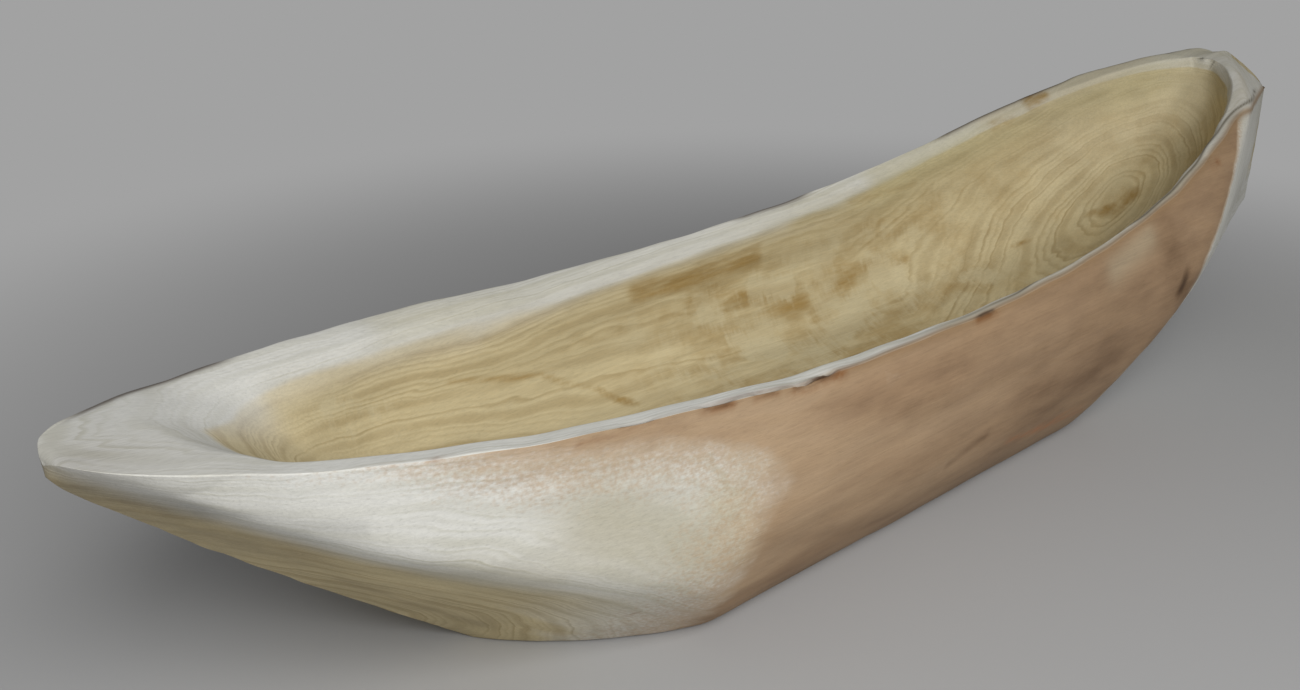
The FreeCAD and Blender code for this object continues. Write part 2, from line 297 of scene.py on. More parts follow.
def twoHalves(b):
    # the near half and a slightly different far half, joined at every station into one closed loop
    half = b["length"] / 2
    x, y, z, part, carved, mouthShare = halfSections(b)
    farY, farZ = halfSections({**b, "bevelFall": b["farBevelFall"], "bevelSlope": b["farBevelSlope"]})[1:3]
    sideways = ramp(y, *b["sideReach"])
    drop = (b["farRimDrop"] * mouthShare ** b["farRimPower"] * ramp(x, *b["farRimStart"])
            * (1 - b["farRimSpared"] * ramp(x, *b["farRimEnd"])))
    farZ = z + (farZ - z - drop) * sideways
    farY = (y + (farY - y) * sideways) * (1 - b["farSlimness"] * (1 - ramp(x, *b["farSlimReach"])))
    z = z * (1 + b["nearLift"] * sideways * ramp(x, *b["nearLiftStart"]) * (1 - ramp(x, *b["nearLiftEnd"])))
    # the ends shrink on a quarter circle over their last millimetres, so that they close round
    nose = np.sqrt(1 - (1 - np.clip((x + half) / b["noseRound"], 0, 1)) ** 2)
    tail = np.sqrt(1 - (1 - np.clip((half - x) / b["sternRound"], 0, 1)) ** 2)
    shrink = (b["endLeft"] + (1 - b["endLeft"]) * nose) * (b["endLeft"] + (1 - b["endLeft"]) * tail)
    lower = b["noseLeft"] + (1 - b["noseLeft"]) * nose
    y, farY = (wornDown(v) * shrink for v in (y, farY))
    z, farZ = (b["noseHeight"] + (wornDown(v) - b["noseHeight"]) * lower for v in (z, farZ))
    edgeAt = b["bottomPoints"] + b["sidePoints"] - 1
    edgeGap = np.hypot(y - y[:, edgeAt:edgeAt + 1], z - z[:, edgeAt:edgeAt + 1])
    # the far half is walked back, without the two middle points that both halves share
    ring = np.concatenate([np.stack([x, -y, z], -1), np.stack([x, farY, farZ], -1)[:, -2:0:-1]], 1)
    carved, edgeGap = (np.concatenate([v, v[:, -2:0:-1]], 1) for v in (carved, edgeGap))
    return ring, np.concatenate([part, part[-2:0:-1]]), carved, edgeGap


def handCarved(ring, part, edgeGap, b):
    # moves every point along the surface's outward direction by a slow wander, by cuts as deep as |noise| - 0.5,
    # and inwards where the rim has splintered; the base stays flat
    along = np.gradient(ring, axis=0)
    around = np.roll(ring, -1, 1) - np.roll(ring, 1, 1)
    outward = np.cross(around, along)
    outward /= np.maximum(np.linalg.norm(outward, axis=-1, keepdims=True), 1e-9)
    if outward[len(ring) // 2, b["bottomPoints"] // 2, 2] > 0:
        outward = -outward
    x, y, z = ring[..., 0], ring[..., 1], ring[..., 2]
    push = b["wander"] * smoothNoise(ring, b["wanderSize"], 11, 3)
    cuts = smoothNoise(ring, b["cutSize"], 12, 2)
    push += np.where(part == hollow, b["gouge"], b["facet"]) * (np.abs(cuts) - 0.5)
    push *= 1 - b["deckSmoothed"] * (1 - ramp(x, *b["deckReach"])) * (part >= land)
    push = np.where(z < 0.5, 0, push) * ramp(b["length"] / 2 - np.abs(x), *b["carveReach"])
    ragged = np.clip(0.6 + 0.5 * smoothNoise(ring, b["splinterSize"], 21, 2), 0, 1.4)
    for start, end, depth in splinters:
        place = stretch(x, start, end, b["splinterEnd"]) * (y < 0)
        push -= depth * place * np.exp(-(edgeGap / b["splinterReach"]) ** 2) * ragged
    ring = ring + outward * push[..., None]
    ring[..., 2] = np.clip(ring[..., 2], 0, None)
    return ring


def closedFaces(rows, columns):
    # quads between neighbouring loops, then strips between near and far half that close the ends, wound the other way
    index = np.arange(rows * columns).reshape(rows, columns)
    quads = np.stack([index[:-1], np.roll(index[:-1], -1, 1), np.roll(index[1:], -1, 1), index[1:]], -1)
    faces = quads.reshape(-1, 4).tolist()
    for row, turn in ((0, -1), (rows - 1, 1)):
        loop = index[row]
        near = loop[:columns // 2 + 1]
        far = np.concatenate([loop[:1], loop[:columns // 2 - 1:-1]])
        strip = np.stack([near[1:-2], near[2:-1], far[2:-1], far[1:-2]], -1)[:, ::turn]
        ends = np.array([[near[0], near[1], far[1]], [far[-2], near[-2], near[-1]]])[:, ::turn]
        faces += strip.tolist() + ends.tolist()
    return faces


def turnOutwards(mesh):
    # the signed volume of all triangles with the origin; a negative one means that the surface is inside out
    mesh.calc_loop_triangles()
    corners = np.zeros(len(mesh.loop_triangles) * 3, np.int32)
    mesh.loop_triangles.foreach_get("vertices", corners)
    points = np.zeros(len(mesh.vertices) * 3)
    mesh.vertices.foreach_get("co", points)
    p = points.reshape(-1, 3)[corners.reshape(-1, 3)]
    volume = np.einsum("ij,ij->i", p[:, 0], np.cross(p[:, 1], p[:, 2])).sum() / 6
    if volume < 0:
        mesh.flip_normals()
    return volume


ring, part, carved, edgeGap = twoHalves(boat)
ring = handCarved(ring, part, edgeGap, boat)
mesh = bpy.data.meshes.new("carvedBoat")
mesh.from_pydata((ring.reshape(-1, 3) * mm).tolist(), [], closedFaces(*ring.shape[:2]))
mesh.update()
print("boat surface:", len(mesh.polygons), "faces, volume", round(turnOutwards(mesh) * 1e6), "cubic centimetres")
mesh.shade_smooth()
carvedBoat = bpy.data.objects.new("carvedBoat", mesh)
bpy.context.scene.collection.objects.link(carvedBoat)

# where the wood is marked, in millimetres: each mark runs from one place to another, with a spread and a strength
marks = {
    "darkBrown": [((79, -57, 45), (83, -56.5, 50), 3.0, 1.2), ((72, -54, 62), (84, -56, 42), 8.0, 0.62),     # the knot
              # darker brown under the nose and along the prow's underside
              ((-246, -6, 70), (-212, -16, 48), 11.0, 0.42), ((-225, -8, 45), (-175, -14, 14), 9.0, 0.18),
              ((-199, -13, 37), (-162, -11, 8), 2.2, 0.4),
              ((0, -56, 30), (42, -55, 31), 10.0, 0.5), ((-37, -54, 23), (-22, -55, 27.5), 1.7, 0.75),
              ((60, -54, 34), (95, -52, 44), 8.0, 0.35), ((-90, -52, 16), (-10, -52, 15), 6.0, 0.22),
              ((-60, -56, 45), (60, -56, 47), 3.0, 0.22), ((120, -22, 36), (200, -12, 45), 9.0, 0.12)],
    "orange": [((-6, -52, 19.5), (19, -49.5, 14.5), 0.9, 0.7), ((19, -49.5, 14.5), (45, -48, 11), 0.9, 0.7),
               ((10, -51, 17), (40, -50, 15), 0.7, 0.5)],
    # painted highlight: a paler patch on the near side just under the rim amidships
    "paintedHighlight": [((40, -53, 60), (62, -52, 65), 4.5, 0.6)],
    "ochre": [((-58, 47, 50), (-4, 48, 49.5), 5.5, 1.0), ((-34, 47, 42), (15, 44, 31), 7.0, 1.0),
              ((36, 46, 37), (68, 42, 33), 4.5, 0.9), ((18, 40, 26), (40, 44, 32), 6.0, 0.8),
              ((45, 47, 59), (76, 46, 60), 4.0, 0.6),
              ((-92, 45, 50), (-74, 45, 39), 3.5, 0.5), ((-132, 41, 46), (-99, 43, 37), 1.6, 0.8),
              ((-99, 43, 37), (-80, 40, 28), 1.8, 0.9), ((-80, 40, 28), (-66, 34, 19), 2.2, 1.0),
              ((134, 38, 82), (140, 36, 84), 4.5, 1.0), ((116, 40, 75), (124, 39, 77), 3.5, 0.8),
              ((146, 6, 44), (154, 2, 50), 6.0, 1.0), ((141, 12, 41), (144, 10, 44), 2.5, 1.0),
              ((121, 22, 34), (112, 24, 33), 1.6, 1.0), ((172, -2, 60), (176, -3, 63), 1.4, 0.9),
              ((-204, -33, 73.2), (-196, -36, 72.2), 1.0, 0.6), ((178, -12, 62), (188, -10, 78), 6.0, 0.7),
              ((-40, -45, 45), (60, -45, 45), 10.0, 0.6), ((30, 47, 62), (60, 46, 64), 2.5, 0.25)],
    "scuff": [((-6, 47, 39), (10, 46, 37), 4.5, 1.0), ((-30, 46, 37), (-24, 46, 34), 5.0, 1.0),
              ((-21, 41, 26), (-6, 36, 21), 5.5, 0.9), ((6, 30, 18), (42, 37, 24), 7.0, 0.8),
              ((54, 43, 33), (64, 37, 25), 8.0, 0.9), ((-46, 39, 24), (-38, 36, 21), 5.5, 0.7),
              ((84, 30, 26), (98, 20, 25), 6.0, 0.7), ((150, 34, 72), (165, 28, 76), 6.0, 0.5),
              ((-170, 30, 52), (-150, 30, 44), 8.0, 0.6), ((40, 5, 15), (80, 5, 18), 12.0, 0.5),
              ((-120, -5, 22), (-60, 0, 15), 12.0, 0.4)],
    "bleach": [((-226, 12, 71), (-196, 26, 66), 9.0, 0.8), ((-196, 26, 66), (-120, 41, 58), 5.0, 0.5),
               ((-120, 42, 58), (10, 49, 60), 4.5, 0.45), ((-215, -28, 73), (-110, -51, 65), 3.5, 0.6)],
    # painted shade: neutral grey on the nose's near side under its rim, and on the stern's end
    "paintedShade": [((-250, 0, 74), (-247, 0, 72), 3.0, 0.5), ((-249, -4, 71), (-232, -17, 64), 5.0, 0.6),
              ((-240, -6, 60), (-222, -12, 48), 7.0, 0.3),
              ((-225, -25, 66), (-205, -33, 60), 2.0, 0.3), ((246, 0, 80), (250, 0, 60), 4.0, 0.4)],
    "rust": [((-148, -47.5, 68), (-141, -48.5, 67.4), 1.0, 0.9), ((-127, -50, 66.2), (-119, -51, 65.5), 1.2, 1.1),
             ((-112, -52, 65), (-105, -52.5, 64.6), 1.1, 1.1), ((-100, -53, 64.1), (-84, -53.6, 63.5), 1.7, 1.4),
             ((-29, -54, 62.8), (-20, -54, 62.8), 1.2, 1.1), ((86.5, -48, 72), (87.5, -48, 72), 0.8, 1.0),
             ((112, -46, 76), (118, -45, 77), 1.4, 0.9), ((-190, -38, 72), (-188, -38, 72), 0.9, 0.8),
             ((-160, -45, 67), (-60, -54.5, 63.6), 0.8, 0.6), ((-140, -39, 15), (-138.5, -39, 16), 0.7, 1.0)],
    "slit": [((-99, -52.4, 64.3), (-87, -52.5, 63.8), 0.9, 1.2), ((-126, -50.2, 66.4), (-120, -50.8, 66.0), 0.7, 1.0),
             ((-111, -51.9, 65.2), (-106, -52.2, 64.9), 0.7, 1.0), ((-28, -53, 63.1), (-22, -53, 63.1), 0.7, 0.9),
             ((80, -57, 45.5), (82, -57, 48.5), 1.7, 0.9)],
    "honey": [((-150, 44, 64), (60, 49, 60), 5.0, 0.35), ((60, 48, 62), (150, 38, 80), 9.0, 0.65),
              ((150, 38, 80), (205, 8, 88), 12.0, 0.9), ((-123, -53, 42), (-118, -53, 32), 8.0, 0.5)],
    "dull": [((-155, -46, 48), (-132, -50, 34), 14.0, 0.9), ((-186, -38, 42), (-166, -42, 38), 8.0, 0.6),
             ((200, 0, 88), (250, 0, 60), 16.0, 0.4)],
    "olive": [((-40, -53, 63.5), (60, -50.5, 68), 4.0, 0.6), ((60, -50.5, 68), (130, -42, 80), 4.0, 0.75),
              ((130, -42, 80), (192, -18, 93), 4.5, 0.5), ((115, 42, 79), (185, 22, 93), 6.0, 0.6),
              ((150, 30, 70), (186, 0, 80), 14.0, 0.4)],
}

# the peeled bark, the bleached rim and the lines along both rims, in millimetres
surface = {
    # the bark's border at the prow, by height, and how deep under the near rim it starts, by place along the boat
    "borderHeights": (8, 23, 34, 42, 50, 64), "borderPlaces": (-119, -115, -112, -106, -108, -118),
    "stripPlaces": (-240, -196, -177, -164, -145, -129, -118, -105, -92, -70),
    "stripDepths": (-18, -9, 0, 2, 4, 7, 10.5, 16, 24, 60),
    "facetGap": 1.0,           # the log is bare where a facet cuts it deeper than this
    "sternBorder": 98.0, "sternHigh": 51.0, "sternHighLean": 1.4, "sternLow": 30.0, "sternLowLean": 1.2,
    "hollowFront": -228.0,
    # depth of the pale edge inside the hollow: at the prow, by how much more on its far side and amidships
    "creamBare": -0.6, "creamFar": 7.0, "creamFarReach": (6, 20), "creamFarFade": 60.0,
    "creamMiddle": 1.5, "creamMiddleStart": (-150, -80), "creamMiddleEnd": (60, 140),
    "creamRamp": 6.5, "creamFrontRamp": 3.0, "creamFrontFade": 25.0,           # over which it turns tan
    "landTan": (120, 150),     # the rim is tan up to here
    "rimEdgeSpread": 1.4, "rimEdgeStart": (-165, -60),
    "barkLeft": ((-238, -196), (-8, 26), (92, 206)),           # bark left along the far rim, from and to
    "barkLeftSpread": 1.1, "barkLeftEnd": 5.0,
    "grooveIn": 2.7, "grooveSpread": 0.55,
}


def segmentGap(points, start, end):
    # distance from each point to a straight piece between two places
    along = np.array(end, float) - np.array(start, float)
    share = np.clip(((points - start) @ along) / max(along @ along, 1e-6), 0, 1)
    return np.linalg.norm(points - start - share[..., None] * along, axis=-1)


def markField(points, pieces):
    # each mark fades as a bell curve of the distance: strength exp(-(gap / spread)^2)
    total = np.zeros(points.shape[:-1])
    for start, end, spread, strength in pieces:
        gap = segmentGap(points, np.array(start, float), end)
        total = np.maximum(total, strength * np.exp(-(gap / spread) ** 2))
    return total


def barkField(points, part, carved, edgeGap, s):
    # millimetres from the peeled bark surface: ahead of its border at the prow, under its strip below the rim,
    # into the log where a facet cuts it, or behind its slanting end at the stern
    x, z = points[..., 0], points[..., 2]
    border = np.interp(z, s["borderHeights"], s["borderPlaces"])
    gap = np.where(x < -80, (border - x) * 0.34, carved - s["facetGap"])
    strip = np.interp(x, s["stripPlaces"], s["stripDepths"])
    gap = np.where(x < -70, np.minimum(gap, (edgeGap - strip) * 0.7), gap)
    slant = (s["sternHighLean"] * np.clip(z - s["sternHigh"], 0, None)
             + s["sternLowLean"] * np.clip(s["sternLow"] - z, 0, None))
    gap = gap + 14 * ramp(x - s["sternBorder"] - slant, -6, 8)
    return np.where(part == side, np.clip(gap, -8, offBark), offBark)


def woodFields(ring, part, carved, edgeGap, b, s):
    # what the wood reads from the surface: the marks, and how near a point is to its edges and borders
    x, y, z = ring[..., 0], ring[..., 1], ring[..., 2]
    fields = {name: markField(ring, pieces) for name, pieces in marks.items()}
    fields["barkGap"] = barkField(ring, part, carved, edgeGap, s)
    # inside, the wood turns from cream to tan at a depth under the rim that is largest on the far side of the prow
    mouthDepth = sheerAt(x, b) - z
    behind = np.clip(x - s["hollowFront"], 0, None)
    creamDepth = (s["creamBare"] + s["creamFar"] * ramp(y, *s["creamFarReach"]) * np.exp(-behind / s["creamFarFade"])
                  + s["creamMiddle"] * (ramp(x, *s["creamMiddleStart"]) - ramp(x, *s["creamMiddleEnd"])))
    turned = s["creamRamp"] + s["creamFrontRamp"] * np.exp(-behind / s["creamFrontFade"])
    tan = ramp(mouthDepth - creamDepth, 0, turned)
    fields["inside"] = np.where(part == hollow, 1, (part == land) * (1 - ramp(x, *s["landTan"]))) * tan
    fields["hollowDepth"] = (part == hollow) * np.clip(mouthDepth, 0, 60)
    fields["rimEdge"] = np.exp(-(edgeGap / s["rimEdgeSpread"]) ** 2) * (y < 0) * ramp(x, *s["rimEdgeStart"])
    # bark left along the far rim's outermost high points
    onLand = (part == land) & (y > 0)
    high = np.where(onLand, z, -1e3).max(1, keepdims=True) - 0.7
    crestY = np.where(onLand & (z > high), y, -1e3).max(1, keepdims=True)
    stretches = sum(stretch(x, start, end, s["barkLeftEnd"]) for start, end in s["barkLeft"])
    fields["farLine"] = stretches * np.exp(-((y - crestY) / s["barkLeftSpread"]) ** 2) * (y > 0) * (z > high - 3)
    # below the prow's ridge, towards the nose, the wood takes the heart's tan
    fields["underRidge"] = (part <= side) * ramp(ridgeAt(x, b) - z, 1, 7) * (1 - ramp(x, -175, -125))
    # a groove that wanders along the near rim
    wave = 0.5 * np.sin(x / 17) + 0.3 * np.sin(x / 6.1)
    groove = np.exp(-((edgeGap - s["grooveIn"] - wave) / s["grooveSpread"]) ** 2)
    fields["groove"] = groove * ramp(x, -90, 10) * (1 - ramp(x, 200, 222)) * ((part == land) & (y < 0))
    return fields


fields = woodFields(ring, part, carved, edgeGap, boat, surface)
for name, values in fields.items():
    flat = np.ascontiguousarray(values, np.float32).ravel()
    mesh.attributes.new(name, "FLOAT", "POINT").data.foreach_set("value", flat)
print("marks:", ", ".join(marks))


smooth = {"interpolation_type": "SMOOTHSTEP"}


def addNode(tree, kind, inputs=None, output=0, **settings):
    # one node with its settings; an input takes a value or another node's output
    node = tree.nodes.new("ShaderNode" + kind)
    for name, value in settings.items():
        setattr(node, name, value)
    for name, value in (inputs or {}).items():
        if isinstance(value, bpy.types.NodeSocket):
            tree.links.new(value, node.inputs[name])
        else:
            node.inputs[name].default_value = value
    return None if output is None else node.outputs[output]


# bare wood: millimetres unless a share
wood = {
    "pith": (6.0, 34.0, 0.085),      # the rings lie round a line this far to the far side and up, with this rise aft
    "ringGrowth": 1.25,              # rings narrow outwards: their number grows as this power of the radius
    "ringCount": 38.0,               # of them inside ringRadius
    "ringRadius": 48.0,
    "wander": 5.0, "quickWander": 2.2,
    "heartOutside": 35.0, "heartOutsideAft": 12.0,             # radius of the tan heart where it is seen from outside
    "heartInside": 51.0, "heartInsideAft": 67.0, "heartInsideFront": 10.0,     # and in the hollow
    "lineShare": 0.45, "heartLineShare": 0.62,
    "mottled": 0.62, "worn": 0.6,    # the most that the hollow's darker and paler places take
    "blush": 0.85, "blushReach": 11.0,
    "cover": 0.85,                   # the most that any mark covers
    "cream": "#d9d8d1", "creamLine": "#a39f80", "tan": "#cebf97", "tanLine": "#937b4c",
    "salmon": "#987a5a", "salmonPale": "#b39878", "salmonDark": "#7a5d40",
    # the pale #b3a78d on the next line is a painted highlight
    "darkBrown": "#5a4028", "orange": "#b4764a", "paintedHighlight": "#b3a78d", "ochre": "#9a7a3c", "scuff": "#d0c4a0",
    # the grey #6b6b69 on the next line is painted shade
    "paintedShade": "#6b6b69", "rust": "#80552f", "slit": "#3f2d20", "honey": "#c0b68b", "dull": "#b1aa93",
    "olive": "#bfb398", "bleach": "#e2e2dd", "farLine": "#4d4038", "groove": "#5e5440", "rimEdge": "#94795a",
    # noise that is long along the log: size along it and across it, then detail and offset
    "noises": {"slow": (150, 50, 2, 0), "quick": (45, 11, 3, 3), "heartEdge": (110, 16, 3, 7),
               "patch": (30, 5, 5, 11), "ragged": (9, 5, 4, 2), "streak": (26, 8, 4, 9),
               "broad": (90, 18, 3, 13), "blotch": (15, 9, 4, 17), "fibre": (26, 0.5, 3, 1),
               "pore": (3.2, 0.28, 2, 5), "cross": (1.6, 7.0, 4, 8), "chatter": (8, 6, 2, 6),
               "fleck": (1.3, 0.9, 2, 15), "mottle": (26, 12, 4, 27), "worn": (16, 13, 4, 31),
               "tone": (240, 30, 2, 19), "band": (130, 9, 3, 21)},
    "relief": {"fibre": 0.09, "pore": 0.05, "late": 0.05, "chatter": 0.16, "fleck": 0.03, "cross": 0.10},
    "bump": 0.55, "roughness": 0.64, "ior": 1.45, "specular": 0.32,
}


def bareWood(w):
    # pale linden or poplar, knife carved and left bare: dull, creamy outside and tan towards the heart,
    # with fine growth rings round the pith and pinkish brown where the bark was peeled off
    material = bpy.data.materials.new("bareKnifeCarvedPoplar")
    material.use_nodes = True
    tree = material.node_tree
    tree.nodes.clear()
    add = functools.partial(addNode, tree)
    paint = {name: linearColour(value) for name, value in w.items() if isinstance(value, str)}
    place = add("TexCoord", output="Object")
    field = {name: add("Attribute", output="Fac", attribute_name=name) for name in fields}
    noise = {}
    for name, (alongMm, acrossMm, detail, shift) in w["noises"].items():
        moved = add("Mapping", {"Vector": place, "Location": (shift, shift, shift),
                                "Scale": (1000 / alongMm, 1000 / acrossMm, 1000 / acrossMm)})
        noise[name] = add("TexNoise", {"Vector": moved, "Scale": 1.0, "Detail": detail, "Roughness": 0.58})
    split = add("SeparateXYZ", {0: place}).node
    placeX = split.outputs["X"]
    # rings: distance from the pith in mm, pushed about by noise, then raised to a power so that they narrow outwards
    aside = add("Math", {0: split.outputs["Y"], 1: 1000.0, 2: -w["pith"][0]}, operation="MULTIPLY_ADD")
    height = add("Math", {0: split.outputs["Z"], 1: 1000.0, 2: -w["pith"][1]}, operation="MULTIPLY_ADD")
    height = add("Math", {0: placeX, 1: -1000.0 * w["pith"][2], 2: height}, operation="MULTIPLY_ADD")
    radius = add("VectorMath", {0: add("CombineXYZ", {"Y": aside, "Z": height})}, output="Value", operation="LENGTH")
    pushed = add("MapRange", {"Value": noise["slow"], 1: 0.0, 2: 1.0, 3: -w["wander"], 4: w["wander"]})
    radius = add("Math", {0: radius, 1: pushed}, operation="ADD")
    pushed = add("MapRange", {"Value": noise["quick"], 1: 0.0, 2: 1.0, 3: -w["quickWander"], 4: w["quickWander"]})
    radius = add("Math", {0: radius, 1: pushed}, operation="ADD")
    share = add("Math", {0: radius, 1: w["ringRadius"]}, operation="DIVIDE")
    number = add("Math", {0: share, 1: w["ringGrowth"]}, operation="POWER")
    number = add("Math", {0: number, 1: w["ringCount"]}, operation="MULTIPLY")
    # the late wood of each ring: rises slowly over its last half, drops at its end, and is strong or weak by chance
    phase = add("Math", {0: number}, operation="FRACT")
    rises = add("MapRange", {"Value": phase, 1: 0.25, 2: 0.78}, **smooth)
    drops = add("MapRange", {"Value": phase, 1: 1.0, 2: 0.80}, **smooth)
    late = add("Math", {0: rises, 1: drops}, operation="MULTIPLY")
    whole = add("Math", {0: number}, operation="FLOOR")
    luck = add("TexWhiteNoise", {"W": whole}, output="Value", noise_dimensions="1D")
    luck = add("MapRange", {"Value": luck, 1: 0.15, 2: 1.0, 3: 0.08, 4: 1.0})
    late = add("Math", {0: late, 1: luck}, operation="MULTIPLY")
    fade = add("MapRange", {"Value": noise["broad"], 1: 0.36, 2: 0.60, 3: 0.35, 4: 1.0})
    late = add("Math", {0: late, 1: fade}, operation="MULTIPLY")
    # every few rings a run of darker years: a sine of the ring number, sharpened
    years = add("Math", {0: add("Math", {0: number, 1: 1.37}, operation="MULTIPLY")}, operation="SINE")
    years = add("MapRange", {"Value": years, 1: 0.1, 2: 1.0, 4: 0.6}, **smooth)
    years = add("Math", {0: years, 1: fade}, operation="MULTIPLY")
    late = add("Math", {0: late, 1: years}, operation="MAXIMUM")
    # heartwood: tan inside a wandering radius that lies further out in the hollow than on the outside
    outer = add("MapRange", {"Value": placeX, 1: 0.06, 2: 0.13, 3: w["heartOutside"], 4: w["heartOutsideAft"]})
    inner = add("MapRange", {"Value": placeX, 1: 0.04, 2: 0.13, 3: w["heartInside"], 4: w["heartInsideAft"]})
    atFront = add("MapRange", {"Value": placeX, 1: -0.21, 2: -0.15, 3: w["heartInsideFront"], 4: 0.0})
    inner = add("Math", {0: inner, 1: atFront}, operation="ADD")
    border = add("Mix", {0: field["inside"], 2: outer, 3: inner}, output=0)
    wavy = add("MapRange", {"Value": noise["heartEdge"], 1: 0.2, 2: 0.8, 3: -6.0, 4: 6.0})
    border = add("Math", {0: border, 1: wavy}, operation="ADD")
    depth = add("Math", {0: border, 1: radius}, operation="SUBTRACT")
    heart = add("MapRange", {"Value": depth, 1: -6.0, 2: 5.0}, **smooth)
    heart = add("Math", {0: heart, 1: field["underRidge"]}, operation="MAXIMUM")
    plain = add("Mix", {0: heart, 6: paint["cream"], 7: paint["tan"]}, output=2, data_type="RGBA")
    lines = add("Mix", {0: heart, 6: paint["creamLine"], 7: paint["tanLine"]}, output=2, data_type="RGBA")
    lineShare = add("MapRange", {"Value": heart, 1: 0.0, 2: 1.0, 3: w["lineShare"], 4: w["heartLineShare"]})
    lineShare = add("Math", {0: lineShare, 1: late}, operation="MULTIPLY")
    colour = add("Mix", {0: lineShare, 6: plain, 7: lines}, output=2, data_type="RGBA")
    # darker patches of heart: a streaky noise pushed up where they are marked
    ochre = add("Math", {0: noise["patch"], 1: 2.2, 2: field["ochre"]}, operation="MULTIPLY_ADD")
    ochre = add("Math", {0: noise["streak"], 1: 0.9, 2: ochre}, operation="MULTIPLY_ADD")
    ochre = add("MapRange", {"Value": ochre, 1: 1.75, 2: 2.90, 4: 1.0}, **smooth)
    marked = add("MapRange", {"Value": field["ochre"], 1: 0.03, 2: 0.85}, **smooth)
    ochre = add("Math", {0: ochre, 1: marked}, operation="MULTIPLY")
    # amidships and aft the hollow is mottled: darker heart showing through, and paler places worn across the grain
    aft = add("MapRange", {"Value": placeX, 1: -0.085, 2: -0.035})
    deep = add("MapRange", {"Value": field["hollowDepth"], 1: 9.0, 2: 20.0})
    aft = add("Math", {0: aft, 1: deep}, operation="MULTIPLY")
    lessened = add("MapRange", {"Value": placeX, 1: 0.06, 2: 0.12, 3: 1.0, 4: 0.45})
    aft = add("Math", {0: aft, 1: lessened}, operation="MULTIPLY")
    darker = add("MapRange", {"Value": noise["mottle"], 1: 0.40, 2: 0.68, 4: w["mottled"]}, **smooth)
    darker = add("Math", {0: darker, 1: aft}, operation="MULTIPLY")
    ochre = add("Math", {0: ochre, 1: darker}, operation="MAXIMUM")
    wornEdge = add("Math", {0: noise["cross"], 1: 0.28, 2: noise["worn"]}, operation="MULTIPLY_ADD")
    paler = add("MapRange", {"Value": wornEdge, 1: 0.59, 2: 0.80, 4: w["worn"]}, **smooth)
    paler = add("Math", {0: paler, 1: aft}, operation="MULTIPLY")
    strokes = add("Math", {0: noise["cross"], 1: 1.0, 2: field["scuff"]}, operation="MULTIPLY_ADD")
    strokes = add("Math", {0: noise["blotch"], 1: 2.0, 2: strokes}, operation="MULTIPLY_ADD")
    scuff = add("MapRange", {"Value": strokes, 1: 1.75, 2: 2.30, 4: 0.75}, **smooth)
    marked = add("MapRange", {"Value": field["scuff"], 1: 0.05, 2: 0.3})
    scuff = add("Math", {0: scuff, 1: marked}, operation="MULTIPLY")
    scuff = add("Math", {0: scuff, 1: paler}, operation="MAXIMUM")
    # the peeled bark has a ragged border, and a speckled blush ahead of it
    raggedMm = add("MapRange", {"Value": noise["ragged"], 1: 0.2, 2: 0.8, 3: -1.5, 4: 1.5})
    gap = add("Math", {0: field["barkGap"], 1: raggedMm}, operation="ADD")
    bark = add("MapRange", {"Value": gap, 1: 2.2, 2: -1.4}, **smooth)
    speckled = add("MapRange", {"Value": noise["fleck"], 1: 0.3, 2: 0.7, 3: -3.0, 4: 3.0})
    blush = add("Math", {0: gap, 1: speckled}, operation="ADD")
    blush = add("MapRange", {"Value": blush, 1: w["blushReach"], 2: 0.0, 3: 0.0, 4: w["blush"]}, **smooth)
    streaked = add("MapRange", {"Value": noise["streak"], 1: 0.26, 2: 0.60})
    salmon = add("Mix", {0: streaked, 6: paint["salmonDark"], 7: paint["salmon"]}, output=2, data_type="RGBA")
    forward = add("MapRange", {"Value": placeX, 1: 0.02, 2: -0.11, 3: 0.15, 4: 0.75})
    clouded = add("MapRange", {"Value": noise["broad"], 1: 0.38, 2: 0.60})
    forward = add("Math", {0: forward, 1: clouded}, operation="MULTIPLY")
    salmon = add("Mix", {0: forward, 6: salmon, 7: paint["salmonPale"]}, output=2, data_type="RGBA")
    broken = add("MapRange", {"Value": noise["streak"], 1: 0.30, 2: 0.65, 3: 1.0, 4: 0.55})
    dark = add("Math", {0: field["darkBrown"], 1: broken}, operation="MULTIPLY")
    broken = add("MapRange", {"Value": noise["ragged"], 1: 0.38, 2: 0.55, 3: 0.25, 4: 1.0})
    rust = add("Math", {0: field["rust"], 1: broken}, operation="MULTIPLY")
    # one after another: how much of it, which colour
    layers = [(field[name], paint[name]) for name in ("bleach", "honey", "dull", "olive")]
    layers += [(ochre, paint["ochre"]), (scuff, paint["scuff"]), (blush, paint["salmonPale"]), (bark, salmon)]
    # the near side's pale patch here is a painted highlight
    layers += [(field["paintedHighlight"], paint["paintedHighlight"]), (field["orange"], paint["orange"]), (dark, paint["darkBrown"])]
    # the grey at the nose and at the stern's end is painted shade
    layers += [(field[name], paint[name]) for name in ("paintedShade", "rimEdge", "farLine", "groove")]
    layers += [(rust, paint["rust"]), (field["slit"], paint["slit"])]
    for amount, tint in layers:
        amount = add("Math", {0: amount, 1: w["cover"]}, operation="MULTIPLY", use_clamp=True)
        colour = add("Mix", {0: amount, 6: colour, 7: tint}, output=2, data_type="RGBA")
